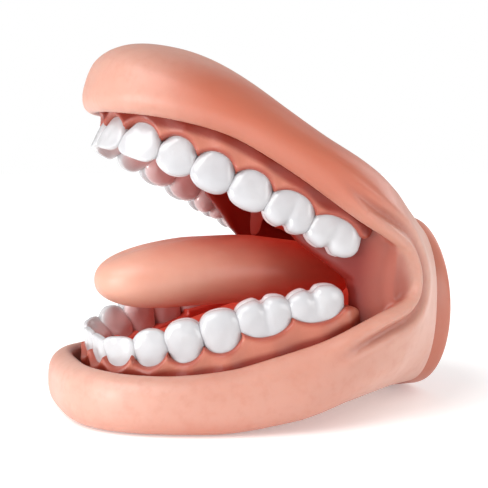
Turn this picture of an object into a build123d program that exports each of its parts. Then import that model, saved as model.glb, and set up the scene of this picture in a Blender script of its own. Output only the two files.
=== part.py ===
from build123d import *
import math
import os

os.makedirs("parts", exist_ok=True)

# Soft rubber mouth with two full rows of teeth, worked by a hand put in through a cuff at the rear.
# Millimetres. +Z is up, the mouth opens towards -Y, and the model is a mirror image about X = 0.
# The origin is on the table, under the middle of the model.

# ---- the jaw hinge line and the two jaws -------------------------------------------------------
# Each jaw is drawn closed, with the hinge line along X at the origin: X across, -Y forwards, and
# Z up from the bite plane. seat() then turns it to its rest angle and lifts it on to the hinge.
HINGE_Y = 32.0
HINGE_Z = 49.0
UPPER_LIFT = 27.0  # degrees that the upper jaw stands open at rest
LOWER_DROP = 12.9  # degrees that the lower jaw hangs open at rest
JAW_REAR = 2.0  # both jaws stop this far in front of the hinge line

# ---- rows of teeth: seen from above, a row runs back by depth * |x / half_width| ** power ---------
# From front to rear the biting edges also bow by sag and climb by rise, over the bite plane.
UPPER_ARCH = {"front": 97.0, "depth": 81.0, "half_width": 49.7, "power": 2.83, "sag": 0.3, "rise": -1.0}
LOWER_ARCH = {"front": 92.8, "depth": 76.8, "half_width": 47.7, "power": 3.57, "sag": 2.6, "rise": 2.6}
ARCH_STEPS = 400  # steps used to walk along a row and measure it
WALK_REACH = 1.05  # the walk goes this share of the half width, just past the last tooth

TOOTH_NAMES = [
    "central_incisor",
    "lateral_incisor",
    "canine",
    "first_premolar",
    "second_premolar",
    "first_molar",
    "second_molar",
]
UPPER_WIDTHS = [16.0, 13.8, 13.2, 13.8, 13.8, 15.8, 17.6]
LOWER_WIDTHS = [15.4, 12.4, 11.9, 12.0, 12.9, 17.4, 18.0]
TOOTH_DEPTHS = [7.0, 7.0, 8.5, 9.5, 9.5, 11.5, 11.5]  # cheek side to tongue side, at the gum
EDGE_DEPTHS = [2.6, 2.6, 3.2, 6.0, 6.0, 9.0, 9.0]  # the same at the biting edge
CROWN_HEIGHT = 10.0
CROWN_FILL = 0.82  # crown width over its share of the row, which leaves room at the bends
NECK_SHARE = 0.86  # crown width at the gum over its width at the biting edge
CORNER_SHARE = 0.3  # radius of a crown's upright edges over its depth
GUM_SET_BACK = 1.5  # the crown stands this far outside the row's line, at the gum
EDGE_SET_BACK = 0.5  # and this far at the biting edge
PEG_RADIUS = 2.2
PEG_LENGTH = 6.0
PEG_CLEARANCE = 0.1

# ---- gums, palate and mouth floor ------------------------------------------------------------------
GUM_OUT = 3.0  # gum beyond the biting edge, towards the lips
GUM_IN = 9.5  # gum inside the biting edge, towards the tongue
GUM_HEIGHT = 9.0
PALATE_LOW = 19.0
FLOOR_HIGH = -13.0
LINING = 3.0

# ---- lips and covers ---------------------------------------------------------------------------------
REAR_PULL = 2.0  # each outline narrows by this between the last tooth and the jaw's rear end
LIP_INNER = 3.4  # lips start this far outside the biting edges
UPPER_LIP_LEVELS = [(11.0, 7.0), (16.0, 12.0), (24.0, 13.0), (30.0, 12.3), (38.0, 6.5)]
COVER_LEVELS = [(38.0, 5.5), (43.0, -5.0), (48.0, -20.0)]
COVER_WALL = 3.0
LOWER_LIP_ARCH = {"front": 90.0, "depth": 73.4, "half_width": 47.7, "power": 3.57}
LOWER_LIP_LEVELS = [(0.0, 8.0), (6.0, 12.0), (14.0, 13.0), (24.0, 11.5), (40.0, 10.0)]
LOWER_LIP_INNER = 4.2
LIP_FRONT = 102.8  # lower lip's front ahead of the hinge line
LOWER_LIP_FRONT_TOP = 21.0  # above the table, at the front of the lower lip
LOWER_LIP_RISE = 0.13  # slope of the lower lip's top edge, front to back
CHIN_WALL = 3.0
FIT = 0.3  # gap between neighbouring soft pieces
BIG = 400.0  # larger than the whole model, for cutting

# ---- rear body and cuff ----------------------------------------------------------------------------
SHELL_FRONT_Y = 34.0
SHELL_FRONT_SIZE = (58.0, 45.0)  # half width and half height
SHELL_FRONT_Z = 45.5
SHELL_REAR_Y = 62.0
SHELL_REAR_SIZE = (36.0, 33.5)
CUFF_REAR_Y = 71.0
CUFF_SIZE = (28.5, 32.5)
CUFF_Z = 33.5
HAND_RADIUS = 24.0
HAND_HOLE_LENGTH = 57.0
SHELL_WALL = 3.5
REAR_WALL = 3.0
UPPER_CLEAR_ANGLE = 125.0  # rear body starts here, counted from forwards and up over the hinge
LOWER_CLEAR_ANGLE = -104.5  # and ends here, counted from forwards and down
THROAT_RADIUS = 24.0
THROAT_WALL = 2.5
THROAT_HALF_WIDTH = 46.0
CORNER_INNER = 5.0
CORNER_OUTER = 15.0
CORNER_NEAR_X = 47.0
CORNER_FAR_X = 58.0

# ---- tongue ------------------------------------------------------------------------------------------
# Stations from tip to root: y, height of the middle, half width, half thickness.
TONGUE_STATIONS = [
    (-54.5, 46.5, 4.0, 3.0),
    (-50.0, 46.8, 10.5, 6.8),
    (-38.0, 47.6, 16.5, 10.0),
    (-18.0, 48.8, 20.5, 12.0),
    (4.0, 48.8, 21.0, 12.0),
    (22.0, 47.6, 19.0, 10.5),
    (36.0, 46.4, 14.0, 8.0),
]
TONGUE_PIVOT_Y = 26.0
TONGUE_PIVOT_Z = 39.0
ROOT_RADIUS = 6.0
ROOT_TOP_Z = 50.0
ROOT_CLEARANCE = 0.5
HEEL_RADIUS = 3.0  # rounded foot on the lift axis
HEEL_LENGTH = 11.0


def write(name, shape):
    export_step(shape, f"parts/{name}.step")


def seat(shape, angle):
    """Turn a jaw piece about the hinge line to its rest angle and put the hinge in place."""
    return Pos(0, HINGE_Y, HINGE_Z) * Rot(X=angle) * shape


def arch_front(arch, x):
    """How far forwards the row's line is at x."""
    return arch["front"] - arch["depth"] * (abs(x) / arch["half_width"]) ** arch["power"]


def grown_point(arch, x, grow):
    """Point of the row's line moved straight outwards by grow, as (x, y) in the jaw's own frame."""
    slope = arch["power"] * arch["depth"] / arch["half_width"]
    slope *= (abs(x) / arch["half_width"]) ** (arch["power"] - 1)
    reach = grow / math.hypot(1, slope)
    return math.copysign(abs(x) + reach * slope, x), -(arch_front(arch, x) + reach)


def arch_face(arch, grow, rear=JAW_REAR):
    """Area inside a row's line grown outwards, from its front back to the jaw's rear end."""
    shares = [0, 0.3, 0.55, 0.75, 0.9, 1]
    right = [grown_point(arch, arch["half_width"] * share, grow) for share in shares]
    right.append((right[-1][0] - REAR_PULL, -rear))
    left = [(-x, y) for x, y in reversed(right[1:])]
    edge = Spline(*left, *right)
    return make_face([edge, Line(edge @ 1, edge @ 0)])


def rounded_form(arch, levels):
    """Solid whose outline swells and shrinks with height: levels are (height, grow) pairs."""
    return loft([Pos(0, 0, height) * arch_face(arch, grow) for height, grow in levels])


def slab(face, low, high):
    return Pos(0, 0, low) * extrude(face, high - low)


def row_places(arch, widths):
    """Walk along half of a row and return each tooth's x, forward distance and heading."""
    step = arch["half_width"] * WALK_REACH / ARCH_STEPS
    middles = [sum(widths[:i]) + widths[i] / 2 for i in range(len(widths))]
    places = []
    length = 0.0
    for i in range(ARCH_STEPS):
        x = i * step
        fall = arch_front(arch, x) - arch_front(arch, x + step)
        length += math.hypot(step, fall)
        if len(places) < len(middles) and length >= middles[len(places)]:
            places.append((x + step, arch_front(arch, x + step), math.atan2(fall, step)))
    return places


def tip_height(arch, forward):
    """Height of the biting edges above the bite plane, which changes a little along the row."""
    share = (arch["front"] - forward) / arch["depth"]
    return 4 * arch["sag"] * share * (1 - share) + arch["rise"] * share


def tooth_pieces(arch, widths, up):
    """Every tooth of one jaw, with its socket. up is 1 in the upper jaw and -1 in the lower one."""
    flip = Rot(Y=180) if up < 0 else Rot()
    pieces = []
    for side, side_name in ((1, "left"), (-1, "right")):
        for index, (x, forward, heading) in enumerate(row_places(arch, widths)):
            width = widths[index] * CROWN_FILL
            depth = TOOTH_DEPTHS[index]
            edge_depth = EDGE_DEPTHS[index]
            inward = depth / 2 - GUM_SET_BACK
            crown_length = CROWN_HEIGHT - up * tip_height(arch, forward)
            gum_plane = Plane((0, inward, 0))
            edge_plane = Plane((0, edge_depth / 2 - EDGE_SET_BACK, -crown_length))
            base = gum_plane * RectangleRounded(width * NECK_SHARE, depth, depth * CORNER_SHARE)
            edge = edge_plane * RectangleRounded(width, edge_depth, edge_depth * CORNER_SHARE)
            crown = loft([Sketch() + edge, Sketch() + base])
            peg_middle = Pos(0, inward, PEG_LENGTH / 2)
            peg = peg_middle * Cylinder(PEG_RADIUS, PEG_LENGTH)
            socket = peg_middle * Cylinder(PEG_RADIUS + PEG_CLEARANCE, PEG_LENGTH + PEG_CLEARANCE)
            turn = Rot(Z=side * math.degrees(heading))
            place = Pos(side * x, -forward, up * CROWN_HEIGHT) * turn * flip
            name = f"{side_name}_{TOOTH_NAMES[index]}"
            pieces.append((name, place * (crown + peg), place * socket))
    return pieces


def make_jaw(jaw, arch, widths, up, angle):
    """Teeth, gum and the smooth lining inside the row of one jaw."""
    teeth = tooth_pieces(arch, widths, up)
    low, high = sorted((up * CROWN_HEIGHT, up * (CROWN_HEIGHT + GUM_HEIGHT)))
    gum = slab(arch_face(arch, GUM_OUT), low, high) - slab(arch_face(arch, -GUM_IN), low, high)
    for _, _, socket in teeth:
        gum -= socket
    write(f"{jaw}_gum", seat(gum, angle))
    for name, tooth, _ in teeth:
        write(f"{jaw}_{name}", seat(tooth, angle))


def make_upper_covers():
    low, high = UPPER_LIP_LEVELS[0][0], UPPER_LIP_LEVELS[-1][0]
    lip = rounded_form(UPPER_ARCH, UPPER_LIP_LEVELS) - slab(arch_face(UPPER_ARCH, LIP_INNER), low, high)
    write("upper_lip", seat(lip, -UPPER_LIFT))
    hollow = [(height - COVER_WALL, grow - COVER_WALL) for height, grow in COVER_LEVELS]
    cover = Pos(0, 0, FIT) * (rounded_form(UPPER_ARCH, COVER_LEVELS) - rounded_form(UPPER_ARCH, hollow))
    write("finger_cover", seat(cover, -UPPER_LIFT))
    palate = slab(arch_face(UPPER_ARCH, GUM_OUT), PALATE_LOW + FIT, PALATE_LOW + FIT + LINING)
    write("palate", seat(palate, -UPPER_LIFT))


def make_lower_covers():
    top_at_front = Pos(0, HINGE_Y - LIP_FRONT, LOWER_LIP_FRONT_TOP)
    slope = math.degrees(math.atan(LOWER_LIP_RISE))
    above = top_at_front * Rot(X=slope) * Pos(0, 0, BIG / 2) * Box(2 * BIG, 2 * BIG, BIG)
    behind = seat(Pos(0, BIG / 2 - JAW_REAR, 0) * Box(BIG, BIG, BIG), LOWER_DROP)
    lip = rounded_form(LOWER_LIP_ARCH, LOWER_LIP_LEVELS)
    lip -= slab(arch_face(LOWER_LIP_ARCH, LOWER_LIP_INNER), 0, LOWER_LIP_LEVELS[-1][0])
    write("lower_lip", Pos(0, HINGE_Y, 0) * lip - above - behind)
    chin = slab(arch_face(LOWER_LIP_ARCH, LOWER_LIP_INNER - FIT), 0, CHIN_WALL)
    write("chin_cover", Pos(0, HINGE_Y, 0) * chin - behind)
    floor = slab(arch_face(LOWER_ARCH, -GUM_IN - FIT), FLOOR_HIGH - LINING, FLOOR_HIGH)
    write("mouth_floor", seat(floor, LOWER_DROP))


def wedge_in_front():
    """The space in front of the rear body, where the two jaws swing."""
    upper = math.radians(UPPER_CLEAR_ANGLE)
    lower = math.radians(LOWER_CLEAR_ANGLE)
    corners = [
        (0, 0),
        (-BIG * math.cos(upper), BIG * math.sin(upper)),
        (-BIG, BIG),
        (-BIG, -BIG),
        (-BIG * math.cos(lower), BIG * math.sin(lower)),
    ]
    profile = Plane.YZ * make_face(Polyline(*corners, close=True))
    return Pos(-BIG, HINGE_Y, HINGE_Z) * extrude(profile, 2 * BIG)


def oval(y, z, size):
    return Plane((0, y, z), x_dir=(1, 0, 0), z_dir=(0, 1, 0)) * Ellipse(size[0], size[1])


def shell_form(shrink):
    front = (SHELL_FRONT_SIZE[0] - shrink, SHELL_FRONT_SIZE[1] - shrink)
    rear = (SHELL_REAR_SIZE[0] - shrink, SHELL_REAR_SIZE[1] - shrink)
    return loft([oval(SHELL_FRONT_Y, SHELL_FRONT_Z, front), oval(SHELL_REAR_Y, CUFF_Z, rear)])


def hinge_cylinder(radius, near_x, far_x):
    middle = (near_x + far_x) / 2
    return Pos(middle, HINGE_Y, HINGE_Z) * Rot(Y=90) * Cylinder(radius, far_x - near_x)


def make_rear_body():
    wedge = wedge_in_front()
    corner_room = CORNER_OUTER + FIT
    rear_half = Pos(0, SHELL_REAR_Y - REAR_WALL + BIG / 2, 0) * Box(BIG, BIG, BIG)
    hand_hole = Pos(0, CUFF_REAR_Y, CUFF_Z) * Rot(X=90) * Cylinder(HAND_RADIUS, HAND_HOLE_LENGTH)
    shell = shell_form(0) - (shell_form(SHELL_WALL) - rear_half) - wedge - hand_hole
    shell -= hinge_cylinder(corner_room, -2 * CORNER_FAR_X, 2 * CORNER_FAR_X)
    write("rear_shell", shell)

    throat = hinge_cylinder(THROAT_RADIUS, -THROAT_HALF_WIDTH, THROAT_HALF_WIDTH)
    throat -= hinge_cylinder(THROAT_RADIUS - THROAT_WALL, -THROAT_HALF_WIDTH, THROAT_HALF_WIDTH)
    throat = (throat & shell_form(SHELL_WALL + FIT)) - wedge
    write("throat_lining", throat)

    corner = hinge_cylinder(CORNER_OUTER, CORNER_NEAR_X, CORNER_FAR_X)
    corner -= hinge_cylinder(CORNER_INNER, CORNER_NEAR_X, CORNER_FAR_X)
    corner -= wedge
    write("left_lip_corner", corner)
    write("right_lip_corner", mirror(corner, Plane.YZ))

    cuff = extrude(oval(SHELL_REAR_Y, CUFF_Z, CUFF_SIZE), CUFF_REAR_Y - SHELL_REAR_Y)
    write("rear_cuff", cuff - hand_hole)


def make_tongue():
    stations = [oval(y, z, (half_width, half_height)) for y, z, half_width, half_height in TONGUE_STATIONS]
    tongue = loft(stations)
    height = ROOT_TOP_Z - TONGUE_PIVOT_Z
    middle = Pos(0, TONGUE_PIVOT_Y, TONGUE_PIVOT_Z + height / 2)
    heel = Pos(0, TONGUE_PIVOT_Y, TONGUE_PIVOT_Z) * Rot(Y=90) * Cylinder(HEEL_RADIUS, HEEL_LENGTH)
    root = middle * Cylinder(ROOT_RADIUS, height) + heel
    pocket_middle = Pos(0, TONGUE_PIVOT_Y, ROOT_TOP_Z + ROOT_CLEARANCE - 2 * height)
    pocket = pocket_middle * Cylinder(ROOT_RADIUS + ROOT_CLEARANCE, 4 * height)
    write("tongue", tongue - pocket)
    write("tongue_root", root)


make_jaw("upper", UPPER_ARCH, UPPER_WIDTHS, 1, -UPPER_LIFT)
make_jaw("lower", LOWER_ARCH, LOWER_WIDTHS, -1, LOWER_DROP)
make_upper_covers()
make_lower_covers()
make_rear_body()
make_tongue()
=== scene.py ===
import math

import bmesh
import bpy
import numpy as np
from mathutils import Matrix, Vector


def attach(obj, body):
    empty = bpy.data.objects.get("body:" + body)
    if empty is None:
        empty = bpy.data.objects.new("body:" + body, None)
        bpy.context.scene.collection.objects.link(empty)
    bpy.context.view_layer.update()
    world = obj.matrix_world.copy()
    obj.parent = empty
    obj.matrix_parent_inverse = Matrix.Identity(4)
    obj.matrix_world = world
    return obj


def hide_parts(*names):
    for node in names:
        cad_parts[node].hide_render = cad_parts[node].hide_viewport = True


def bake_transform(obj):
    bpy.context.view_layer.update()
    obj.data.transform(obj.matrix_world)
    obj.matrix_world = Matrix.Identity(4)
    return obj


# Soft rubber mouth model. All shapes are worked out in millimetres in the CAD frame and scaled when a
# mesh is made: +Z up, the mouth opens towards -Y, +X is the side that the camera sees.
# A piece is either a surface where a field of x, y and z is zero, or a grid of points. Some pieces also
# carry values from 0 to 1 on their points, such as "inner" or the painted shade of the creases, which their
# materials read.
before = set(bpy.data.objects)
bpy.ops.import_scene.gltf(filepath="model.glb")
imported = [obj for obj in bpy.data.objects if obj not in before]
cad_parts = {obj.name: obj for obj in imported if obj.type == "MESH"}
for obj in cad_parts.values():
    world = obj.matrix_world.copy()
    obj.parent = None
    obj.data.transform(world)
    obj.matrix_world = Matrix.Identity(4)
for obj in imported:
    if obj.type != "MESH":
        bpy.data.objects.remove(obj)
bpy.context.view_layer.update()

MM = 0.001
FAR = 1e9
SKIN_STEP = 1.0  # grid spacing of each kind of soft piece
GUM_STEP = 0.75
LINING_STEP = 1.2

# ---- hinge line and rest angles, as in the CAD ---------------------------------------------------
HINGE_Y = 32.0
HINGE_Z = 49.0
UPPER_LIFT = math.radians(27.0)
LOWER_DROP = math.radians(12.9)

# Rows of teeth, seen from above: a row runs back by depth * |x / half_width| ** power. From front to rear
# the biting edges also bow by sag and climb by rise. LIP_ARCH is the line that the lower lip follows.
UPPER_ARCH = {"front": 97.0, "depth": 81.0, "half_width": 49.7, "power": 2.83, "sag": 0.3, "rise": -1.0}
LOWER_ARCH = {"front": 92.8, "depth": 76.8, "half_width": 47.7, "power": 3.57, "sag": 2.6, "rise": 2.6}
LIP_ARCH = {"front": 90.0, "depth": 73.4, "half_width": 47.7, "power": 3.57}
REAR_REACH = -110.0  # rows are carried straight back to here, well behind the body

TOOTH_NAMES = (
    "central_incisor",
    "lateral_incisor",
    "canine",
    "first_premolar",
    "second_premolar",
    "first_molar",
    "second_molar",
)
UPPER_WIDTHS = (16.0, 13.8, 13.2, 13.8, 13.8, 15.8, 17.6)
LOWER_WIDTHS = (15.4, 12.4, 11.9, 12.0, 12.9, 17.4, 18.0)


# ---- small numeric helpers -----------------------------------------------------------------------
def ease(value, low, high):
    """0 below low, 1 above high, smooth between."""
    share = np.clip((value - low) / (high - low), 0, 1)
    return share * share * (3 - 2 * share)


def blend_min(a, b, width):
    """The smaller of two distances, rounded where they cross: joins two shapes."""
    share = np.clip(0.5 + 0.5 * (b - a) / width, 0, 1)
    return b + (a - b) * share - width * share * (1 - share)


def blend_max(a, b, width):
    """The larger of two distances, rounded where they cross: keeps what two shapes share."""
    return -blend_min(-a, -b, width)


def bump(value, middle, spread):
    """1 at the middle, falling to 0 on both sides."""
    return np.exp(-(((value - middle) / spread) ** 2))


def smooth_line(points, steps=12):
    """Catmull-Rom curve through given points."""
    points = np.array(points, float)
    padded = np.vstack([2 * points[0] - points[1], points, 2 * points[-1] - points[-2]])
    line = []
    for i in range(1, len(padded) - 2):
        a, b, c, d = padded[i - 1 : i + 3]
        square = 2 * a - 5 * b + 4 * c - d
        cube = 3 * b - a - 3 * c + d
        for t in np.linspace(0, 1, steps, endpoint=False):
            line.append(0.5 * (2 * b + (c - a) * t + square * t**2 + cube * t**3))
    line.append(points[-1])
    return np.array(line)


class Table:
    """A function of two lengths, kept on a grid and read back by bilinear interpolation."""

    def __init__(self, low, high, step, function):
        self.low = low
        self.step = step
        first = np.arange(low[0], high[0] + step, step)
        second = np.arange(low[1], high[1] + step, step)
        a, b = np.meshgrid(first, second, indexing="ij")
        self.value = function(a, b)

    def __call__(self, a, b):
        i = np.clip((a - self.low[0]) / self.step, 0, self.value.shape[0] - 1.001)
        j = np.clip((b - self.low[1]) / self.step, 0, self.value.shape[1] - 1.001)
        i0 = i.astype(int)
        j0 = j.astype(int)
        u = i - i0
        w = j - j0
        grid = self.value
        near = grid[i0, j0] * (1 - w) + grid[i0, j0 + 1] * w
        far = grid[i0 + 1, j0] * (1 - w) + grid[i0 + 1, j0 + 1] * w
        return near * (1 - u) + far * u


def signed_distance(outline):
    """Function giving the distance to a closed outline, negative inside it."""
    start = np.array(outline, float)
    end = np.roll(start, -1, axis=0)

    def measure(a, b):
        best = np.full(a.shape, FAR)
        inside = np.zeros(a.shape, bool)
        for (ax, ay), (bx, by) in zip(start, end):
            dx, dy = bx - ax, by - ay
            length = dx * dx + dy * dy
            if length == 0:
                continue
            t = np.clip(((a - ax) * dx + (b - ay) * dy) / length, 0, 1)
            best = np.minimum(best, np.hypot(a - ax - t * dx, b - ay - t * dy))
            if dy != 0:
                crosses = ((ay > b) != (by > b)) & (a < dx * (b - ay) / dy + ax)
                inside ^= crosses
        return np.where(inside, -best, best)

    return measure


# ---- rows of teeth -------------------------------------------------------------------------------
def arch_front(arch, x):
    """How far forwards a row lies at x."""
    return arch["front"] - arch["depth"] * (np.abs(x) / arch["half_width"]) ** arch["power"]


def arch_line(arch):
    """The row's line from its right end round the front to its left end, with shorter steps at its ends."""
    t = np.linspace(-1, 1, 161)
    x = arch["half_width"] * np.sign(t) * (1 - (1 - np.abs(t)) ** 1.6)
    return np.column_stack([x, arch_front(arch, x)])


def arch_offset(arch):
    """Table of how far a point (x, forwards) lies outside the row's line, negative inside."""
    line = arch_line(arch)
    half = arch["half_width"]
    outline = np.vstack([[(-half + 2, REAR_REACH)], line, [(half - 2, REAR_REACH)]])
    return Table((-90, -70), (90, 130), 1.0, signed_distance(outline))


def arch_length(arch):
    """Table of the distance along the row from the mid line to the nearest place on it."""
    line = arch_line(arch)
    step = np.hypot(*np.diff(line, axis=0).T)
    length = np.concatenate([[0], np.cumsum(step)])
    length -= length[-1] / 2

    def nearest(a, b):
        best = np.full(a.shape, FAR)
        value = np.zeros(a.shape)
        for (px, py), (qx, qy), s0, s1 in zip(line[:-1], line[1:], length[:-1], length[1:]):
            dx, dy = qx - px, qy - py
            t = np.clip(((a - px) * dx + (b - py) * dy) / (dx * dx + dy * dy), 0, 1)
            distance = np.hypot(a - px - t * dx, b - py - t * dy)
            closer = distance < best
            best = np.where(closer, distance, best)
            value = np.where(closer, s0 + t * (s1 - s0), value)
        return value

    return Table((-90, -70), (90, 130), 1.0, nearest)


def row_places(arch, widths):
    """Each tooth of half a row: x, forward distance and heading."""
    steps = 800
    x = np.linspace(0, arch["half_width"] * 1.05, steps)
    f = arch_front(arch, x)
    length = np.concatenate([[0], np.cumsum(np.hypot(np.diff(x), np.diff(f)))])
    places = []
    for index, width in enumerate(widths):
        middle = sum(widths[:index]) + width / 2
        here = int(np.searchsorted(length, middle))
        before, after = max(here - 2, 0), min(here + 2, steps - 1)
        heading = math.atan2(f[before] - f[after], x[after] - x[before])
        places.append((float(x[here]), float(f[here]), heading))
    return places


def tip_height(arch, forward):
    """Height of the biting edges over the bite plane."""
    share = (arch["front"] - forward) / arch["depth"]
    return 4 * arch["sag"] * share * (1 - share) + arch["rise"] * share


upper_offset = arch_offset(UPPER_ARCH)
lower_offset = arch_offset(LOWER_ARCH)
lip_offset = arch_offset(LIP_ARCH)
upper_length = arch_length(UPPER_ARCH)
lower_length = arch_length(LOWER_ARCH)


# ---- the two jaws' own axes ----------------------------------------------------------------------
def to_upper(y, z):
    """Forward distance and height over the bite plane, in the upper jaw's closed frame."""
    dy, dz = y - HINGE_Y, z - HINGE_Z
    c, s = math.cos(UPPER_LIFT), math.sin(UPPER_LIFT)
    return -c * dy + s * dz, s * dy + c * dz


def from_upper(f, v):
    c, s = math.cos(UPPER_LIFT), math.sin(UPPER_LIFT)
    return HINGE_Y - c * f + s * v, HINGE_Z + s * f + c * v


def to_lower(y, z):
    """Forward distance and height over the bite plane, in the lower jaw's closed frame."""
    dy, dz = y - HINGE_Y, z - HINGE_Z
    c, s = math.cos(LOWER_DROP), math.sin(LOWER_DROP)
    return -c * dy - s * dz, -s * dy + c * dz


def from_lower(f, v):
    c, s = math.cos(LOWER_DROP), math.sin(LOWER_DROP)
    return HINGE_Y - c * f - s * v, HINGE_Z - s * f + c * v


# ---- meshes --------------------------------------------------------------------------------------
def make_object(name, points, faces):
    mesh = bpy.data.meshes.new(name)
    corners = [tuple(int(i) for i in face) for face in faces]
    mesh.from_pydata([tuple(p) for p in np.asarray(points) * MM], [], corners)
    mesh.validate()
    mesh.update()
    piece = bpy.data.objects.new(name, mesh)
    bpy.context.scene.collection.objects.link(piece)
    tidy_normals(piece)
    mesh.shade_smooth()
    return piece


def tidy_normals(piece):
    """Turn every face to look outwards."""
    work = bmesh.new()
    work.from_mesh(piece.data)
    bmesh.ops.recalc_face_normals(work, faces=work.faces)
    work.to_mesh(piece.data)
    work.free()


def paint(piece, name, function):
    """Store function(x, y, z), in millimetres, as a value on each point for the material to read."""
    mesh = piece.data
    points = np.empty(len(mesh.vertices) * 3)
    mesh.vertices.foreach_get("co", points)
    points = points.reshape(-1, 3) / MM
    paint_values(piece, name, function(*points.T))


def paint_values(piece, name, values):
    """Store one value for each point."""
    layer = piece.data.attributes.new(name, "FLOAT", "POINT")
    layer.data.foreach_set("value", np.asarray(values, np.float32))


def surface_of(field, low, high, step):
    """Closed surface where field is zero, by surface nets, with each point then moved on to the surface."""
    axes = [np.arange(a, b + step, step) for a, b in zip(low, high)]
    grid = np.meshgrid(*axes, indexing="ij")
    value = field(*grid)
    shape = np.array(value.shape)
    cells = shape - 1
    stride = np.array([cells[1] * cells[2], cells[2], 1])
    count = np.zeros(int(np.prod(cells)))
    total = np.zeros((3, len(count)))
    quads = []
    for axis in range(3):
        ahead = np.roll(value, -1, axis)
        crossing = (value < 0) != (ahead < 0)
        edge = [slice(None)] * 3
        edge[axis] = slice(-1, None)
        crossing[tuple(edge)] = False
        index = np.argwhere(crossing)
        start = value[crossing]
        t = start / (start - ahead[crossing])
        place = index.astype(float)
        place[:, axis] += t
        others = [k for k in range(3) if k != axis]
        corners = []
        inner = np.ones(len(index), bool)
        for da, db in ((0, 0), (1, 0), (1, 1), (0, 1)):
            cell = index.copy()
            cell[:, others[0]] -= da
            cell[:, others[1]] -= db
            valid = np.all((cell >= 0) & (cell < cells), axis=1)
            inner &= valid
            flat = cell @ stride
            corners.append(flat)
            kept = flat[valid]
            count += np.bincount(kept, minlength=len(count))
            for k in range(3):
                total[k] += np.bincount(kept, weights=place[valid, k], minlength=len(count))
        quad = np.column_stack(corners)[inner]
        turned = (start[inner] < 0) != (axis == 1)
        quad[~turned] = quad[~turned][:, ::-1]
        quads.append(quad)
    used = count > 0
    number = np.cumsum(used) - 1
    points = (total[:, used] / count[used]).T * step + np.array([a[0] for a in axes])
    faces = number[np.vstack(quads)]
    for _ in range(3):
        here = field(*points.T)
        slope = np.empty_like(points)
        for k in range(3):
            shift = np.zeros(3)
            shift[k] = 0.15
            slope[:, k] = (field(*(points + shift).T) - field(*(points - shift).T)) / 0.3
        size = np.maximum((slope**2).sum(axis=1), 0.05)
        move = np.clip(here / size, -0.5 * step, 0.5 * step)
        points -= slope * move[:, None]
    return points, faces


def grid_faces(rows, columns, closed_rows=False, closed_columns=False):
    faces = []
    for i in range(rows if closed_rows else rows - 1):
        for j in range(columns if closed_columns else columns - 1):
            a, b = i, (i + 1) % rows
            c, d = j, (j + 1) % columns
            faces.append((a * columns + c, b * columns + c, b * columns + d, a * columns + d))
    return faces


# ---- skin: one outer form, the cut of the open mouth, and the hollow inside ----------------------
# Upper jaw's skin over the lip and the dome above it: distance outside the row of teeth, height.
UPPER_PROFILE = [
    (-60, 48.2), (-36, 48.2), (-24, 47.6), (-14, 46.2), (-4, 43.4), (4.6, 39.6), (10.0, 35.2),
    (12.8, 29.4), (13.2, 23.5), (12.4, 17.5), (10.8, 12.0), (10.0, 5.0), (10.0, -12.0),
]
# Lower jaw's skin from the flat underside round the lip: distance outside the row, height over the table.
LOWER_PROFILE = [
    (-60, 0), (-20, 0), (2, 0.0), (7.4, 0.3), (11.0, 2.0), (12.9, 5.8), (13.2, 11.0), (12.4, 18.0),
    (11.0, 25.0), (10.5, 36.0), (10.5, 62.0),
]
# Side view of the open mouth, from the upper lip's front back to the corner and out along the lower lip.
MOUTH_CUT = [
    (-104, 117), (-80, 110.6), (-66, 106.8), (-55, 104.8), (-41, 102.8), (-27.5, 99.4), (-18, 95.4),
    (-8.2, 89.2), (0.3, 83.2), (11.3, 74.8), (20.5, 68.2), (29.0, 63.2), (36.2, 58.4), (40.3, 53.4),
    (41.4, 48.6), (39.8, 44.2), (35.4, 41.2), (28.0, 38.6), (18.0, 34.6), (6.4, 29.9), (-8.0, 25.5),
    (-22.0, 21.6), (-39.0, 19.6), (-54.0, 19.6), (-66.0, 20.2), (-110, 20.5),
]
# Rear of the body: y, top, bottom and half width of its oval sections.
REAR_SECTIONS = np.array([
    (-90, 150, -30, 90), (0, 128, -9, 77), (20, 110, -2, 66), (30, 100.5, 0.5, 61.5), (38, 92.5, 1.5, 56.5),
    (46, 84, 2, 50), (54, 76.5, 2, 43), (60, 71, 2, 37), (66, 65.5, 2, 31), (80, 53, 3, 24),
], float)
# Front edge of the cheek web that joins the rear ends of the gums: height over the table, y.
WEB_EDGE = np.array([
    (18, 15), (24, 17), (32, 20), (38, 21), (44, 21), (49, 19.5), (53, 15), (57, 10.5), (61, 6),
    (66, 2), (75, -6),
], float)
WEB_WALL = 5.0  # thickness of the web
LIP_INNER = 4.2  # the lips' inner face stands this far outside the rows
WALL = 4.8  # thickness of the skin over the hand's space
CUFF_Z = 33.5
HAND_RADIUS = 24.0
PASSAGE_FRONT = 50.0  # the round way in for the hand starts here
SEAM_Z = HINGE_Z  # the skin is cut here into an upper and a lower piece
MIDDLE_RISE = 0.123  # slope of the open mouth's middle line, rising forwards

upper_profile_line = smooth_line(UPPER_PROFILE)
upper_profile = Table(
    (-75, -60), (60, 110), 1.0,
    signed_distance(np.vstack([upper_profile_line, [(10, -200)], [(-200, -200)], [(-200, 48.2)]])),
)
lower_profile_line = smooth_line(LOWER_PROFILE)
lower_profile = Table(
    (-75, -20), (60, 150), 1.0,
    signed_distance(np.vstack([lower_profile_line, [(10.5, 300)], [(-200, 300)], [(-200, 0)]])),
)
mouth_cut = Table(
    (-100, -20), (90, 160), 1.0,
    signed_distance(np.vstack([smooth_line(MOUTH_CUT), [(-300, 24)], [(-300, 131)]])),
)


def mouth_middle(y):
    """Height of the open mouth's middle line."""
    return HINGE_Z + MIDDLE_RISE * (HINGE_Y - y)


def near_corner(y):
    """0 along the front of the lips, 1 round the corner of the mouth."""
    return ease(y, 6, 28)


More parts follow.
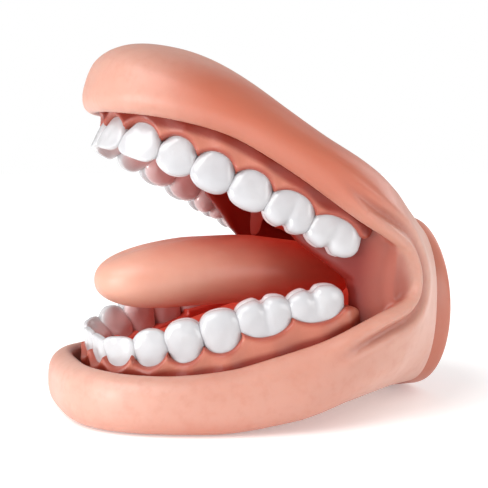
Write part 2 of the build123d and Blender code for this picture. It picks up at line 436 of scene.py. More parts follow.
def rear_form(x, y, z):
    """Oval tube that narrows to the cuff."""
    top = np.interp(y, REAR_SECTIONS[:, 0], REAR_SECTIONS[:, 1])
    bottom = np.interp(y, REAR_SECTIONS[:, 0], REAR_SECTIONS[:, 2])
    half = np.interp(y, REAR_SECTIONS[:, 0], REAR_SECTIONS[:, 3])
    power = 2.2 + 0.5 * ease(y, 60, 20)
    tall = (top - bottom) / 2
    middle = (top + bottom) / 2
    reach = (np.abs(x / half) ** power + np.abs((z - middle) / tall) ** power) ** (1 / power)
    return (reach - 1) * np.minimum(half, tall)


def outer_form(x, y, z):
    """The body's outside with the mouth filled in."""
    f, v = to_upper(y, z)
    drop = 3.2 + 5.6 * ease(f, 80, 30) - 1.5 * ease(f, 8, -14)
    v = v + drop * (0.6 + 0.4 * ease(np.abs(x), 4, 36)) * ease(v, 18, 34)
    upper = upper_profile(upper_offset(x, f), v)
    ridge = v - 48.6 + 0.0225 * np.clip(84 - f, 0, 200) ** 1.375
    upper = blend_max(upper, ridge, 4)
    lift = 2.2 * ease(y, -28, 6) * ease(np.abs(x), 22, 48) * ease(z, 24, 6)
    lower = lower_profile(lip_offset(x, HINGE_Y - y), z - lift)
    middle = mouth_middle(y)
    upper = blend_max(upper, middle - 12 - z, 6)
    lower = blend_max(lower, z - middle - 12, 6)
    body = blend_min(upper, lower, 5)
    body = blend_max(body, rear_form(x, y, z), 9)
    rim = y - 66.5 + 5.5 * (x / 36) ** 2 - 1.5 * (z - CUFF_Z) / 33
    return blend_max(body, rim, 5)


def row_offset(x, y, z):
    """Distance outside the row of teeth: the upper row's above the mouth's middle, the lower row's below."""
    f, _ = to_upper(y, z)
    share = ease(z - mouth_middle(y), -7, 7)
    return upper_offset(x, f) * share + lip_offset(x, HINGE_Y - y) * (1 - share)


def hollow(x, y, z, outside):
    """The space inside the skin: mouth, finger and thumb pockets, and the way in through the cuff."""
    space = blend_max(outside + WALL, row_offset(x, y, z) - LIP_INNER, 3)
    passage = blend_max(np.hypot(x, z - CUFF_Z) - HAND_RADIUS, PASSAGE_FRONT - y, 3)
    return np.minimum(space, passage)


def cheek_web(x, y, z):
    """Soft wall behind the last molars, from the gums' rear ends out to the corner of the lips."""
    offset = row_offset(x, y, z)
    face = -11.0 + 14.0 * ease(y, 3, 35) + 1.0 * ease(np.abs(z - 50), 8, 20) * ease(y, 18, 28)
    bow = y - 0.012 * (z - HINGE_Z) ** 2
    fold = 0.7 * bump(bow, 33.5, 1.6) - 0.5 * bump(bow, 30.0, 1.8)
    web = blend_max(offset - face - fold, face - WEB_WALL - offset, 2)
    front = np.interp(z, WEB_EDGE[:, 0], WEB_EDGE[:, 1]) - y
    return blend_max(blend_max(web, front, 4), y - 47, 3)


def skin_form(x, y, z):
    """The whole skin: the outer form with beaded lips, less the mouth and the hollow, with the cheek webs."""
    outside = outer_form(x, y, z)
    edge = mouth_cut(y, z)
    corner = near_corner(y)
    bead = 1.1 * bump(edge, 2.4, 1.9) - 1.6 * bump(edge, 5.9, 1.7) + 0.9 * bump(edge, 9.4, 2.6)
    shaped = outside - corner * bead
    shaped = blend_max(shaped, -edge, 7 - 3.5 * corner)
    shaped = blend_max(shaped, -hollow(x, y, z, outside), 3)
    web = blend_max(cheek_web(x, y, z), outside + 2.0, 2)
    return blend_min(shaped, web, 2.2)


def cut_at_seam(name, points, faces, keep_above):
    """The part of the skin above or below the seam, closed with a flat face along it."""
    piece = make_object(name, points, faces)
    work = bmesh.new()
    work.from_mesh(piece.data)
    bmesh.ops.bisect_plane(
        work, geom=work.verts[:] + work.edges[:] + work.faces[:], dist=1e-6,
        plane_co=(0, 0, SEAM_Z * MM), plane_no=(0, 0, -1 if keep_above else 1), clear_outer=True,
    )
    rim = [edge for edge in work.edges if edge.is_boundary]
    lids = bmesh.ops.triangle_fill(work, edges=rim, use_beauty=True)["geom"]
    for edge in rim:
        edge.smooth = False
    for face in lids:
        if isinstance(face, bmesh.types.BMFace):
            face.smooth = True
    bmesh.ops.recalc_face_normals(work, faces=work.faces)
    work.to_mesh(piece.data)
    work.free()
    return piece


def inner_tint(x, y, z):
    """0 on the outer skin, rising towards 1 on the mouth's lining, for the skin's colour: the lining's own
    red, made darker as painted shade deep inside the mouth.
    """
    return ease(3.4 - row_offset(x, y, z), 0, 6.0) * ease(-outer_form(x, y, z), 1.5, 5.0)


def painted_crease_shade_tint(x, y, z):
    """Painted shade: 1 along the line where lip meets gum and in the groove beside the corner's bead."""
    edge = mouth_cut(y, z)
    seam = ease(7.0 - row_offset(x, y, z), 0, 2.6) * ease(6 - edge, 0, 5) * ease(-outer_form(x, y, z), 1.5, 4)
    fold = near_corner(y) * bump(edge, 5.8, 1.5) * ease(4 + outer_form(x, y, z), 0, 3)
    return np.clip(0.9 * seam + 0.6 * fold, 0, 1)


def painted_shade_tint(x, y, z):
    """Painted shade: 0 on the lit front of the lips, rising to 1 on the shaded band of the upper lip, with
    some on the sides, the bottom and the rear by the cuff.
    """
    edge = mouth_cut(y, z)
    upper = bump(edge, 12.0, 15.0) * ease(z, 60, 82) * ease(y, -66, -20) * ease(np.abs(x), 16, 42)
    sides = 0.34 * ease(y, -66, -25) * (1 - 0.85 * ease(y, 5, 36))
    return np.clip(sides + 0.72 * upper + 0.3 * ease(8 - z, 0, 8) + 0.4 * ease(y, 50, 66), 0, 1)


def make_skin():
    points, faces = surface_of(skin_form, (-68, -78, -4), (68, 72, 136), SKIN_STEP)
    pieces = []
    for name, keep_above in (("skin_upper", True), ("skin_lower", False)):
        piece = cut_at_seam(name, points, faces, keep_above)
        # the lining's own red, darkened as painted shade deep in the mouth
        paint(piece, "inner", inner_tint)
        # painted shade along the lip's edge where it meets the gum and in the corner's groove
        paint(piece, "painted_crease_shade", painted_crease_shade_tint)
        # painted shade on the upper lip's lower band, the sides, the bottom and the rear
        paint(piece, "painted_shade", painted_shade_tint)
        pieces.append(piece)
    upper, lower = pieces
    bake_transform(upper)
    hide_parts("upper_lip", "finger_cover", "left_lip_corner", "right_lip_corner")
    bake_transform(lower)
    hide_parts("lower_lip", "chin_cover", "rear_shell")
    for piece in pieces:
        piece.data.materials.append(skin_material())


# ---- gums, palate and mouth floor ----------------------------------------------------------------
# For each tooth, the height of the gum's edge from the bite plane, and how far its points drop between teeth.
UPPER_GUM_EDGE = (11.6, 12.4, 12.8, 13.2, 13.2, 12.8, 11.8)
LOWER_GUM_EDGE = (9.2, 9.6, 12.0, 13.8, 14.0, 12.4, 11.2)
GUM_DROP = (3.8, 3.6, 3.4, 3.4, 3.4, 3.4, 3.2)
GUM_BASE = 22.0  # height from the bite plane where the gums end
GUM_OUT = 3.3  # gum outside the row, and inside it
GUM_IN = 9.8
LINING = 3.2  # thickness of the palate and the mouth floor
LINING_BASE = 11.0  # height from the bite plane where the lining meets the gum

# vault is how high the lining arches, foot how much the gum thickens where it meets the lip, and up which
# way the gum stands from the bite plane.
JAWS = {
    "upper": {
        "arch": UPPER_ARCH, "widths": UPPER_WIDTHS, "edges": UPPER_GUM_EDGE, "offset": upper_offset,
        "length": upper_length, "vault": 21.0, "foot": 0.7, "up": 1.0, "to": to_upper, "from": from_upper,
        "lining": ("palate_surface", "palate"),
    },
    "lower": {
        "arch": LOWER_ARCH, "widths": LOWER_WIDTHS, "edges": LOWER_GUM_EDGE, "offset": lower_offset,
        "length": lower_length, "vault": 15.0, "foot": 1.2, "up": -1.0, "to": to_lower, "from": from_lower,
        "lining": ("floor_surface", "mouth_floor"),
    },
}


def gum_edge(along, widths, edges, scallop=1.0):
    """Height of the edge at a distance along the row, with the points between teeth scaled by scallop."""
    along = np.abs(along)
    height = np.full(along.shape, edges[-1] - GUM_DROP[-1])
    start = 0.0
    for width, top, drop in zip(widths, edges, GUM_DROP):
        here = (along >= start) & (along < start + width)
        share = np.abs((along - start) / width * 2 - 1)
        height = np.where(here, top - scallop * drop * share**2.3, height)
        start += width
    return height


def root_swell(along, widths):
    """Soft swelling of the gum over each root: 1 over a root, 0 between."""
    along = np.abs(along)
    swell = np.zeros(along.shape)
    start = 0.0
    for width in widths:
        swell += bump(along, start + width / 2, width * 0.3)
        start += width
    return swell


def row_sag(jaw, f):
    """Height of the biting edges away from the bite plane, on the gum's side of it."""
    arch = jaw["arch"]
    return jaw["up"] * tip_height(arch, np.clip(f, arch["front"] - arch["depth"], arch["front"]))


def gum_form(jaw, x, f, h):
    """One jaw's gum: x, forwards, and height away from the bite plane."""
    g = jaw["offset"](x, f)
    along = jaw["length"](x, f)
    scallop = 1 - 0.85 * ease(-g, 1.5, 4.5)
    edge = gum_edge(along, jaw["widths"], jaw["edges"], scallop) + row_sag(jaw, f)
    swell = 1.5 * (root_swell(along, jaw["widths"]) - 0.55) * ease(GUM_BASE - h, 0, 8)
    wide = GUM_OUT + swell + jaw["foot"] * ease(h, 12, 18) - 10.0 * ease(f, 17, 2)
    inner = -GUM_IN - 2.6 * ease(np.abs(along), 20, 60)
    sides = blend_max(g - wide, inner - g, 3)
    top = edge + 0.8 * ease(-g, 3, 7) + 6.5 * ease(f, 15.5, 4)
    body = blend_max(sides, top - h, 1.8)
    body = blend_max(body, h - GUM_BASE, 2)
    return blend_max(body, -3.0 - f, 3)


def lining_form(jaw, x, f, h):
    """One jaw's arched lining, inside the gum: a palate with ridges, or a plain mouth floor."""
    g = jaw["offset"](x, f)
    rise = (jaw["vault"] - LINING_BASE) * (1 - np.exp(-(np.clip(-8.5 - g, 0, 60) / 9.5) ** 1.4))
    folds = 0.0
    if jaw is JAWS["upper"]:
        front = ease(f, 52, 66) * ease(-g, 12, 20)
        folds = 0.5 * front * np.sin(f * 1.15 + 0.035 * x * x)
        folds = folds + 0.8 * bump(x, 0, 1.6) * ease(-g, 12, 20) * ease(f, 20, 40)
    surface = LINING_BASE + rise - folds
    body = blend_max(surface - h, h - surface - LINING, 1.5)
    body = blend_max(body, g + 6.5, 2)
    return blend_max(body, -1.0 - f, 2)


def jaw_piece(name, jaw_name, form, step, node):
    """Mesh of a form given in a jaw's closed frame, opened to its rest angle."""
    jaw = JAWS[jaw_name]
    points, faces = surface_of(lambda x, f, h: form(jaw, x, f, h), (-60, -8, 0), (60, 104, 30), step)
    y, z = jaw["from"](points[:, 1], jaw["up"] * points[:, 2])
    piece = make_object(name, np.column_stack([points[:, 0], y, z]), faces)
    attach(piece, jaw_name + "_jaw")
    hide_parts(node)
    return piece


def make_gum(jaw_name):
    gum = jaw_piece("gum_" + jaw_name, jaw_name, gum_form, GUM_STEP, jaw_name + "_gum")
    paint_gum(gum, JAWS[jaw_name])
    gum.data.materials.append(gum_material())
    name, node = JAWS[jaw_name]["lining"]
    lining = jaw_piece(name, jaw_name, lining_form, LINING_STEP, node)
    lining.data.materials.append(lining_material())


def paint_gum(piece, jaw):
    """Paint how near each point is to a tooth and how near the lip's edge, both as painted shade, and how far
    inside the row it lies.
    """

    # painted shade along the gum's edge where the teeth come out of it
    def painted_margin_shade(x, y, z):
        f, v = jaw["to"](y, z)
        edge = gum_edge(jaw["length"](x, f), jaw["widths"], jaw["edges"])
        return ease(1.9 - (np.abs(v) - edge - row_sag(jaw, f)), 0, 1.7)

    def inward(x, y, z):
        f, _ = jaw["to"](y, z)
        return ease(-jaw["offset"](x, f), 1.0, 7.0)

    # painted shade along the line where the lip's edge meets the gum
    def painted_crease_shade(x, y, z):
        low = -3.6 if jaw is JAWS["upper"] else -1.8
        return ease(mouth_cut(y, z), low, low + 2.0)

    paint(piece, "painted_margin_shade", painted_margin_shade)
    paint(piece, "inner", inward)
    paint(piece, "painted_crease_shade", painted_crease_shade)


# ---- teeth ---------------------------------------------------------------------------------------
# For each tooth from the middle back: its depth from cheek side to tongue side, how square its crown is seen
# from the biting edge, and how square the biting edge itself is seen from the side.
TOOTH_DEPTHS = (7.8, 7.8, 9.6, 10.6, 10.8, 12.0, 11.8)
SQUARENESS = (3.6, 3.4, 3.0, 3.0, 3.1, 3.8, 3.8)
BITE_SQUARENESS = (5.4, 4.8, 3.6, 3.5, 3.5, 4.0, 4.0)
# For each row: crown height, how far the outer face stands out from the row's line, degrees of outward
# lean, how much narrower the crown is at the gum, and its swelling against its neighbours.
UPPER_CROWNS = {
    "height": (11.8, 12.6, 13.4, 13.8, 13.8, 13.6, 12.4),
    "reach": (2.7, 2.4, 1.8, 1.6, 1.6, 1.6, 1.6),
    "lean": (10, 8, 5, 1, 1, 1, 1),
    "neck": (0.34, 0.36, 0.36, 0.30, 0.28, 0.16, 0.14),
    "swell": (1.08, 1.10, 1.13, 1.14, 1.14, 1.11, 1.10),
}
LOWER_CROWNS = {
    "height": (9.4, 9.8, 12.4, 14.2, 14.6, 13.8, 12.6),
    "reach": (1.2, 1.2, 1.3, 1.6, 1.6, 1.6, 1.6),
    "lean": (3, 3, 3, 1, 1, 1, 1),
    "neck": (0.16, 0.16, 0.20, 0.22, 0.20, 0.10, 0.10),
    "swell": (1.10, 1.14, 1.16, 1.17, 1.17, 1.13, 1.11),
}
ROOT_DEPTH = 5.0  # hidden length of each tooth inside the gum
ROOT_SQUARENESS = 5.0
CANINE = 2  # places in a row, counted from the middle back
FIRST_MOLAR = 5


def sphere_points(cuts):
    """Unit directions and faces of a cube blown up to a ball, evenly divided."""
    work = bmesh.new()
    bmesh.ops.create_cube(work, size=2.0)
    bmesh.ops.subdivide_edges(work, edges=work.edges[:], cuts=cuts, use_grid_fill=True)
    points = np.array([vertex.co[:] for vertex in work.verts])
    points = np.tan(points * math.pi / 4 * 0.98)  # evens out the spacing over the ball
    points /= np.linalg.norm(points, axis=1)[:, None]
    faces = [[vertex.index for vertex in face.verts] for face in work.faces]
    work.free()
    return points, faces


def tooth_points(directions, kind, width, depth, height, neck, swell, rng):
    """Crown and hidden root of one tooth. Across x, outwards y, and z from the biting edge to the root."""
    total = height + ROOT_DEPTH
    square = SQUARENESS[kind]
    dx, dy, dz = directions.T
    side = (np.abs(dx) ** square + np.abs(dy) ** square) ** (1 / square)
    power = np.where(dz < 0, BITE_SQUARENESS[kind], ROOT_SQUARENESS)
    reach = (side**power + np.abs(dz) ** power) ** (1 / power)
    x, y, z = dx / reach, dy / reach, dz / reach
    across, outward = x.copy(), y.copy()
    z = (z + 1) / 2 * total
    level = z / height  # 0 at the biting edge, 1 at the gum line
    x = x * width / 2 * swell * (1 - neck * ease(level, 0.35, 1.1))
    y = y * depth / 2
    near_edge = 1 - ease(level, 0.0, 0.8)
    on_top = 1 - ease(level, 0.05, 0.5)
    if kind < CANINE:
        thin = 1 - 0.66 * near_edge
        y = y * thin + (1 - thin) * depth * 0.24
        z = z + on_top * (0.3 * across**2 + 0.3 * across)
        lobes = bump(across, -0.36, 0.2) + bump(across, 0.36, 0.2)
        y = y + 0.22 * lobes * near_edge * ease(outward, 0, 0.5)
    elif kind == CANINE:
        thin = 1 - 0.5 * near_edge
        y = y * thin + (1 - thin) * depth * 0.2
        z = z + on_top * 1.8 * np.abs(across) ** 1.5
        y = y + 0.5 * bump(across, 0.05, 0.35) * near_edge * ease(outward, 0, 0.5)
    elif kind < FIRST_MOLAR:
        valley = bump(outward, -0.05, 0.2)
        z = z + on_top * (1.6 * valley + 1.3 * np.abs(across) ** 1.7 + 0.6 * ease(-outward, 0.1, 0.7))
        y = y + 0.35 * bump(across, 0.0, 0.3) * near_edge * ease(outward, 0, 0.5)
    else:
        split = 0.04 if kind == FIRST_MOLAR else -0.04
        valley = np.clip(bump(outward, 0, 0.18) + 0.9 * bump(across, split, 0.15), 0, 1.2)
        z = z + on_top * (1.9 * valley + 0.7 * np.abs(across) ** 2.4)
        groove = bump(across, split, 0.13) * (1 - ease(level, 0.4, 0.95))
        y = y - np.sign(outward) * 0.9 * groove * ease(np.abs(outward), 0.3, 0.8)
        lobes = bump(across, -0.5, 0.25) + bump(across, 0.5, 0.25)
        y = y + np.sign(outward) * 0.35 * lobes * ease(np.abs(outward), 0.3, 0.8) * near_edge
        x = x + 0.25 * np.sign(across) * bump(level, 0.35, 0.3) * ease(np.abs(across), 0.5, 0.9)
    wave = rng.uniform(0, 6.28, 3)
    y = y + 0.10 * np.sin(z * 0.9 + wave[0]) * np.sin(x * 0.8 + wave[1])
    x = x + 0.06 * np.sin(z * 0.8 + wave[2])
    return np.column_stack([x, y, z])


def make_teeth():
    rng = np.random.default_rng(7)
    directions, faces = sphere_points(15)
    material = tooth_material()
    for jaw_name, crowns in (("upper", UPPER_CROWNS), ("lower", LOWER_CROWNS)):
        jaw = JAWS[jaw_name]
        for side, side_name in ((1, "left"), (-1, "right")):
            for index, (x, forward, heading) in enumerate(row_places(jaw["arch"], jaw["widths"])):
                width, depth = jaw["widths"][index], TOOTH_DEPTHS[index]
                height, reach, lean, neck, swell = (crowns[key][index] for key in crowns)
                local = tooth_points(directions, index, width, depth, height, neck, swell, rng)
                along, out, level = local.T
                out = out - (depth / 2 - reach) - level * math.tan(math.radians(lean))
                cos, sin = math.cos(heading), math.sin(heading)
                across = side * (x + along * cos + out * sin)
                tip = tip_height(jaw["arch"], forward)
                y, z = jaw["from"](forward - along * sin + out * cos, tip + jaw["up"] * level)
                name = f"{jaw_name}_{side_name}_{TOOTH_NAMES[index]}"
                piece = make_object("tooth_" + name, np.column_stack([across, y, z]), faces)
                # painted shade and painted red reflection on each tooth's tongue side
                paint_values(piece, "inner", ease(-local[:, 1] / depth, -0.1, 0.4))
                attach(piece, jaw_name + "_jaw")
                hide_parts(name)
                piece.data.materials.append(material)


# ---- tongue --------------------------------------------------------------------------------------
TONGUE_TIP = -56.0  # y of the tip
TONGUE_LENGTH = 96.2
TONGUE_HALF_WIDTH = 20.2
TONGUE_HALF_HEIGHT = 12.2
TONGUE_LINE = np.array([(0, 46.4), (0.12, 47.0), (0.35, 48.7), (0.62, 49.0), (0.85, 47.0), (1, 45.5)])


def round_nose(u, length, power, root):
    """Width of the tongue near its tip, from 0 at the tip to 1 at the given share of its length."""
    return (1 - (1 - np.clip(u / length, 0, 1)) ** power) ** (1 / root)


def make_tongue():
    """Rounded blade built of rings from tip to tail, closer together at the tip."""
    rows, columns = ((96, 72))
    points = []
    for share in np.linspace(0, 1, rows):
        u = share**1.8
        y = TONGUE_TIP + TONGUE_LENGTH * u
        tail = np.clip((u - 0.55) / 0.45, 0, 1)
        tail_round = math.sqrt(max(1 - np.clip((u - 0.9) / 0.1, 0, 1) ** 2, 0))
        half = TONGUE_HALF_WIDTH * round_nose(u, 0.42, 2.6, 2.2) * (1 - 0.28 * tail**1.6) * tail_round
        tall = TONGUE_HALF_HEIGHT * round_nose(u, 0.46, 3.0, 2.3) * (1 - 0.22 * tail) * tail_round
        middle = np.interp(u, TONGUE_LINE[:, 0], TONGUE_LINE[:, 1])
        for angle in np.linspace(0, 2 * math.pi, columns, endpoint=False):
            c, s = math.cos(angle), math.sin(angle)
            x = half * math.copysign(abs(c) ** 0.88, c)
            lift = tall * math.copysign(abs(s) ** 0.92, s)
            if s > 0:
                lift -= 1.1 * bump(x, 0, 3.2) * np.clip(u / 0.2, 0, 1) * (1 - u) * s  # groove along the top
            points.append((x, y, middle + lift))
    faces = grid_faces(rows, columns, closed_columns=True)
    faces.append(tuple(range(columns)))
    faces.append(tuple((rows - 1) * columns + j for j in reversed(range(columns))))
    piece = make_object("tongue_blade", points, faces)
    # painted shade: the tongue turns a darker red towards its back, inside the mouth
    paint(piece, "inner", lambda x, y, z: ease(y + 0.35 * np.abs(x), -28, 32))
    piece.data.materials.append(tongue_material())
    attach(piece, "tongue")
    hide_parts("tongue")
    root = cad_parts["tongue_root"]
    root.data.materials.clear()
    root.data.materials.append(tongue_material())


# ---- throat and cuff -----------------------------------------------------------------------------
THROAT_RADIUS = 23.5  # from the hinge line
THROAT_WALL = 2.4
THROAT_HALF_WIDTH = 46


def make_throat():
    """Curved sheet behind the mouth, from over the palate's rear edge round to under the floor's."""
    count = 73
    points = []
    for depth in (0, THROAT_WALL):
        for x in np.linspace(-THROAT_HALF_WIDTH, THROAT_HALF_WIDTH, count):
            radius = THROAT_RADIUS - 14.0 * ease(abs(x), 25, 47) - 1.2 * bump(x, 0, 9) + depth
            for angle in np.radians(np.linspace(84, 262, count)):
                r = radius + 0.5 * math.sin(angle * 5 + 0.12 * x)
                points.append((x, HINGE_Y - r * math.cos(angle), HINGE_Z + r * math.sin(angle)))
    layer = count * count
    last = count - 1
    faces = grid_faces(count, count)
    faces += [tuple(layer + k for k in reversed(face)) for face in grid_faces(count, count)]
    rim = [i * count for i in range(count)]
    rim += [last * count + j for j in range(1, count)]
    rim += [i * count + last for i in reversed(range(last))]
    rim += reversed(range(1, last))
    for a, b in zip(rim, rim[1:] + rim[:1]):
        faces.append((a, b, layer + b, layer + a))
    piece = make_object("throat_surface", points, faces)
    piece.data.materials.append(lining_material())
    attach(piece, "rear_body")
    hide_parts("throat_lining")


# The cuff's section: share of the way from the hand's hole out to the oval's outside, and y.
CUFF_SECTION = [
    (0.0, 56.0), (1.0, 60.5), (1.0, 64.0), (1.0, 67.6), (0.93, 70.0), (0.72, 71.0), (0.45, 71.0),
    (0.2, 70.3), (0.02, 68.6), (0.0, 66.0), (0.0, 60.0),
]
CUFF_HOLE = HAND_RADIUS - 0.6
CUFF_HALF_WIDTH = 28.5
CUFF_HALF_HEIGHT = 32.6


def make_cuff():
    """Oval collar with a rounded rear edge and a round hole for the hand."""
    columns = 120
    section = smooth_line(CUFF_SECTION, 4)
    section[:, 0] = np.clip(section[:, 0], 0, 1)
    points = []
    for share, y in section:
        for angle in np.linspace(0, 2 * math.pi, columns, endpoint=False):
            c, s = math.cos(angle), math.sin(angle)
            x = CUFF_HOLE * c + share * (CUFF_HALF_WIDTH - CUFF_HOLE) * c
            z = CUFF_HOLE * s + share * (CUFF_HALF_HEIGHT - CUFF_HOLE) * s
            points.append((x, y, CUFF_Z + z))
    faces = grid_faces(len(section), columns, closed_rows=True, closed_columns=True)
    piece = make_object("cuff_ring", points, faces)
    piece.data.materials.append(skin_material())
    # painted shade: the inside of the hand hole takes the dark lining tone
    paint(piece, "inner", lambda x, y, z: ease(26 - np.hypot(x, z - CUFF_Z), 0, 3) * 0.6)
    # painted shadow on the cuff's front, where the body's rear rim steps over it
    paint(piece, "painted_crease_shade", lambda x, y, z: ease(64 - y, 0, 4) * 0.8)
    # painted shade: the whole cuff takes most of the darker, warmer tone
    paint(piece, "painted_shade", lambda x, y, z: np.full(x.shape, 0.8))
    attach(piece, "rear_body")
    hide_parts("rear_cuff")


# ---- materials -----------------------------------------------------------------------------------
def tone(red, green, blue):
    """Screen colour, 0 to 255, as the linear colour that a shader takes."""
    linear = []
    for part in (red, green, blue):
        c = part / 255
        linear.append(c / 12.92 if c <= 0.04045 else ((c + 0.055) / 1.055) ** 2.4)
    return (*linear, 1.0)


class Look:
    """A material's node tree, built up from a few kinds of node."""

    def __init__(self, name):
        self.material = bpy.data.materials.new(name)
        self.material.use_nodes = True
        self.tree = self.material.node_tree
        self.tree.nodes.clear()
        self.surface = self.tree.nodes.new("ShaderNodeBsdfPrincipled")
        output = self.tree.nodes.new("ShaderNodeOutputMaterial")
        self.tree.links.new(self.surface.outputs["BSDF"], output.inputs["Surface"])
        self.place = self.tree.nodes.new("ShaderNodeTexCoord").outputs["Object"]

    def noise(self, scale, detail=3.0, roughness=0.5):
        """Solid noise, from 0 to 1. Scale is in waves to the metre, near enough."""
        node = self.tree.nodes.new("ShaderNodeTexNoise")
        node.inputs["Scale"].default_value = scale
        node.inputs["Detail"].default_value = detail
        node.inputs["Roughness"].default_value = roughness
        self.tree.links.new(self.place, node.inputs["Vector"])
        return node.outputs["Fac"]

    def attribute(self, name):
        """A value painted on the mesh."""
        node = self.tree.nodes.new("ShaderNodeAttribute")
        node.attribute_name = name
        return node.outputs["Fac"]

    def stretch(self, value, low, high, to_low=0.0, to_high=1.0):
        """A value's range from low to high, eased out to another range."""
        node = self.tree.nodes.new("ShaderNodeMapRange")
        node.interpolation_type = "SMOOTHSTEP"
        for name, number in (("From Min", low), ("From Max", high), ("To Min", to_low), ("To Max", to_high)):
            node.inputs[name].default_value = number
        self.tree.links.new(value, node.inputs["Value"])
        return node.outputs["Result"]

    def mix(self, share, first, second):
        """Colour between two others, each a tone or another node's output."""
        node = self.tree.nodes.new("ShaderNodeMix")
        node.data_type = "RGBA"
        self._feed(share, node.inputs[0])
        self._feed(first, node.inputs[6])
        self._feed(second, node.inputs[7])
        return node.outputs[2]

    def bumps(self, *layers):
        """Fine relief from (height, strength in metres) layers, one on another."""
        normal = None
        for height, distance in layers:
            node = self.tree.nodes.new("ShaderNodeBump")
            node.inputs["Strength"].default_value = 1.0
            node.inputs["Distance"].default_value = distance
            self.tree.links.new(height, node.inputs["Height"])
            if normal is not None:
                self.tree.links.new(normal, node.inputs["Normal"])
            normal = node.outputs["Normal"]
        self.tree.links.new(normal, self.surface.inputs["Normal"])

    def set(self, **inputs):
        """Set or link the surface shader's inputs, with _ for a space."""
        for name, value in inputs.items():
            self._feed(value, self.surface.inputs[name.replace("_", " ")])

    def soften(self, weight, reach, radius):
        """Let light in under the surface, to a reach in metres times radius for red, green and blue."""
        self.set(Subsurface_Weight=weight, Subsurface_Scale=reach, Subsurface_Radius=radius)

    def _feed(self, value, socket):
        if isinstance(value, bpy.types.NodeSocket):
            self.tree.links.new(value, socket)
        else:
            socket.default_value = value


def once(build):
    """Keep the material that build makes, so that pieces share it."""
    kept = []

    def give():
        if not kept:
            kept.append(build())
        return kept[0]

    return give


@once
def skin_material():
    look = Look("skin_rubber")
    clouds = look.stretch(look.noise(22, 4.0, 0.55), 0.35, 0.68)
    specks = look.stretch(look.noise(260, 3.0, 0.6), 0.42, 0.75, 0.0, 0.35)
    colour = look.mix(clouds, tone(197, 147, 130), tone(205, 160, 144))
    colour = look.mix(specks, colour, tone(189, 131, 113))
    # painted shade: a darker, warmer skin tone on the upper lip's shaded band, the sides, the bottom and the
    # cuff
    colour = look.mix(look.attribute("painted_shade"), colour, tone(180, 98, 74))
    # painted shade in the creases: where lip meets gum, beside the corner's bead and at the cuff's front
    colour = look.mix(look.attribute("painted_crease_shade"), colour, tone(158, 76, 60))
    # the mouth lining's own red, made much darker than the palate's as painted shade deep in the mouth and in
    # the cuff's hole
    lining = look.mix(clouds, tone(122, 23, 11), tone(132, 29, 16))
    colour = look.mix(look.attribute("inner"), colour, lining)
    look.set(Base_Color=colour, Roughness=look.stretch(look.noise(60, 3.0), 0.3, 0.7, 0.36, 0.46))
    look.soften(0.22, 0.004, (1.0, 0.35, 0.22))
    look.bumps((look.noise(35, 2.0), 0.0006), (look.noise(650, 3.0, 0.6), 0.00005))
    return look.material


@once
def gum_material():
    look = Look("gum_rubber")
    clouds = look.stretch(look.noise(45, 4.0, 0.55), 0.35, 0.68)
    colour = look.mix(clouds, tone(182, 108, 87), tone(190, 119, 98))
    # painted shade where the lip's edge meets the gum
    colour = look.mix(look.attribute("painted_crease_shade"), colour, tone(136, 44, 28))
    # painted shade along the gum's edge beside the teeth
    colour = look.mix(look.attribute("painted_margin_shade"), colour, tone(158, 76, 60))
    lining = look.mix(clouds, tone(196, 66, 54), tone(206, 80, 64))
    colour = look.mix(look.attribute("inner"), colour, lining)
    look.set(Base_Color=colour, Roughness=look.stretch(look.noise(90, 3.0), 0.3, 0.7, 0.34, 0.46))
    look.soften(0.2, 0.003, (1.0, 0.35, 0.22))
    look.bumps((look.noise(120, 3.0), 0.0004), (look.noise(800, 3.0, 0.6), 0.00005))
    return look.material


@once
def lining_material():
    look = Look("lining_rubber")
    clouds = look.stretch(look.noise(38, 4.0, 0.6), 0.33, 0.7)
    colour = look.mix(clouds, tone(220, 84, 68), tone(230, 102, 82))
    look.set(Base_Color=colour, Roughness=look.stretch(look.noise(80, 3.0), 0.3, 0.7, 0.32, 0.45))
    # painted light: a faint red glow on the palate, mouth floor and throat stands in for light reaching deep
    # into the mouth
    look.set(Emission_Color=tone(200, 70, 52), Emission_Strength=0.16)
    look.soften(0.15, 0.003, (1.0, 0.3, 0.2))
    look.bumps((look.noise(90, 3.0), 0.0005), (look.noise(700, 3.0, 0.6), 0.00006))
    return look.material


@once
def tooth_material():
    look = Look("tooth_plastic")
    clouds = look.stretch(look.noise(70, 3.0), 0.35, 0.7)
    colour = look.mix(clouds, tone(188, 188, 191), tone(195, 195, 197))
    colour = look.mix(look.stretch(look.noise(420, 2.0), 0.62, 0.8, 0.0, 0.4), colour, tone(191, 190, 190))
    # painted shade and painted red reflection: a pinker, darker tone on the teeth's tongue side
    colour = look.mix(look.stretch(look.attribute("inner"), 0.0, 1.0, 0.0, 0.75), colour, tone(212, 172, 170))
    look.set(Base_Color=colour, Roughness=look.stretch(look.noise(120, 3.0), 0.3, 0.7, 0.14, 0.24))
    look.set(Coat_Weight=0.35, Coat_Roughness=0.08)
    look.soften(0.12, 0.002, (0.9, 0.8, 0.75))
    look.bumps((look.noise(150, 2.0), 0.00025), (look.noise(900, 2.0), 0.00002))
    return look.material


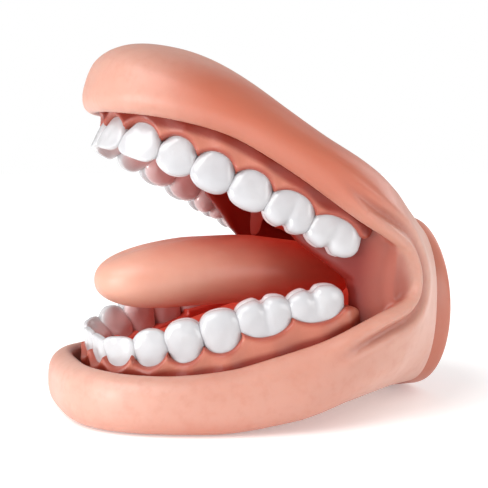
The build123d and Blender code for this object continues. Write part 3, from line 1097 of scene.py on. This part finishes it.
@once
def tongue_material():
    look = Look("tongue_rubber")
    clouds = look.stretch(look.noise(32, 4.0, 0.55), 0.35, 0.68)
    colour = look.mix(clouds, tone(201, 141, 121), tone(209, 154, 134))
    # painted shade: a darker red for the back of the tongue inside the mouth
    painted_back_shade = look.mix(clouds, tone(196, 88, 68), tone(204, 98, 76))
    colour = look.mix(look.attribute("inner"), colour, painted_back_shade)
    look.set(Base_Color=colour, Roughness=look.stretch(look.noise(75, 3.0), 0.3, 0.7, 0.34, 0.46))
    look.soften(0.22, 0.004, (1.0, 0.35, 0.22))
    look.bumps((look.noise(55, 2.0), 0.0005), (look.noise(900, 3.0, 0.6), 0.00007))
    return look.material


@once
def floor_material():
    look = Look("studio_floor")
    clouds = look.stretch(look.noise(1.5, 2.0), 0.3, 0.7)
    look.set(Base_Color=look.mix(clouds, tone(248, 248, 248), tone(250, 250, 250)), Roughness=0.6)
    look.set(Emission_Color=tone(255, 255, 255), Emission_Strength=0.26)
    return look.material


# ---- floor, lights and camera --------------------------------------------------------------------
VIEW_CENTRE = Vector((0.0, -0.00034, 0.05765))
VIEW_AZIMUTH = math.radians(69.02)
VIEW_HEIGHT = math.radians(5.49)
VIEW_DISTANCE = 0.4038
FLOOR_RADIUS = 2600
FLOOR_LEVEL = -0.05


def make_camera():
    data = bpy.data.cameras.new("photo_camera")
    data.sensor_width = 36.0
    data.lens = 81.15
    data.clip_start = 0.01
    data.clip_end = 20.0
    camera = bpy.data.objects.new("photo_camera", data)
    bpy.context.scene.collection.objects.link(camera)
    flat = math.cos(VIEW_HEIGHT)
    back = Vector((flat * math.sin(VIEW_AZIMUTH), -flat * math.cos(VIEW_AZIMUTH), math.sin(VIEW_HEIGHT)))
    camera.location = VIEW_CENTRE + back * VIEW_DISTANCE
    camera.rotation_euler = back.to_track_quat("Z", "Y").to_euler()
    bpy.context.scene.camera = camera


def make_floor():
    """Flat pale disc, a hair below the model and much wider than the view."""
    rings, columns = 40, 96
    points = [(0, 0, 0)]
    for i in range(1, rings + 1):
        r = FLOOR_RADIUS * (i / rings) ** 1.5
        for angle in np.linspace(0, 2 * math.pi, columns, endpoint=False):
            points.append((r * math.cos(angle), r * math.sin(angle), FLOOR_LEVEL))
    faces = [(0, 1 + j, 1 + (j + 1) % columns) for j in range(columns)]
    for i in range(rings - 1):
        for j in range(columns):
            a, b = 1 + i * columns, 1 + (i + 1) * columns
            faces.append((a + j, b + j, b + (j + 1) % columns, a + (j + 1) % columns))
    floor = make_object("studio_floor", points, faces)
    floor.data.materials.append(floor_material())


def make_light(name, kind, place, energy, spread):
    """An area lamp with spread as its size in metres, or a sun with spread as its width in degrees."""
    data = bpy.data.lights.new(name, kind)
    data.energy = energy
    if kind == "SUN":
        data.angle = math.radians(spread)
    else:
        data.shape = "DISK"
        data.size = spread
    light = bpy.data.objects.new(name, data)
    light.location = place
    light.rotation_euler = (Vector(place) - VIEW_CENTRE).to_track_quat("Z", "Y").to_euler()
    bpy.context.scene.collection.objects.link(light)


def make_lights():
    make_light("key_light", "SUN", (0.35, -1.2, 1.25), 2.0, 45)
    make_light("side_light", "AREA", (1.05, 0.75, 0.3), 5.6, 0.8)
    make_light("mouth_light", "AREA", (0.12, -0.5, 0.05), 1.5, 0.2)
    make_light("rim_light", "AREA", (-0.25, 0.85, 0.45), 2.2, 0.6)
    world = bpy.data.worlds.new("studio_world")
    world.use_nodes = True
    tree = world.node_tree
    background = tree.nodes["Background"]
    background.inputs["Color"].default_value = (1.0, 1.0, 1.0, 1.0)
    # The backdrop itself is white; as a light it is dimmer, so that the lamps shape the model.
    seen = tree.nodes.new("ShaderNodeLightPath")
    dimmer = tree.nodes.new("ShaderNodeMapRange")
    dimmer.inputs["To Min"].default_value = 0.5
    dimmer.inputs["To Max"].default_value = 1.0
    tree.links.new(seen.outputs["Is Camera Ray"], dimmer.inputs["Value"])
    tree.links.new(dimmer.outputs["Result"], background.inputs["Strength"])
    bpy.context.scene.world = world
    bpy.context.scene.view_settings.view_transform = "Standard"


# ---- put it together -----------------------------------------------------------------------------
make_skin()
make_gum("upper")
make_gum("lower")
make_teeth()
make_tongue()
make_throat()
make_cuff()
make_floor()
make_lights()
make_camera()

bpy.context.view_layer.update()
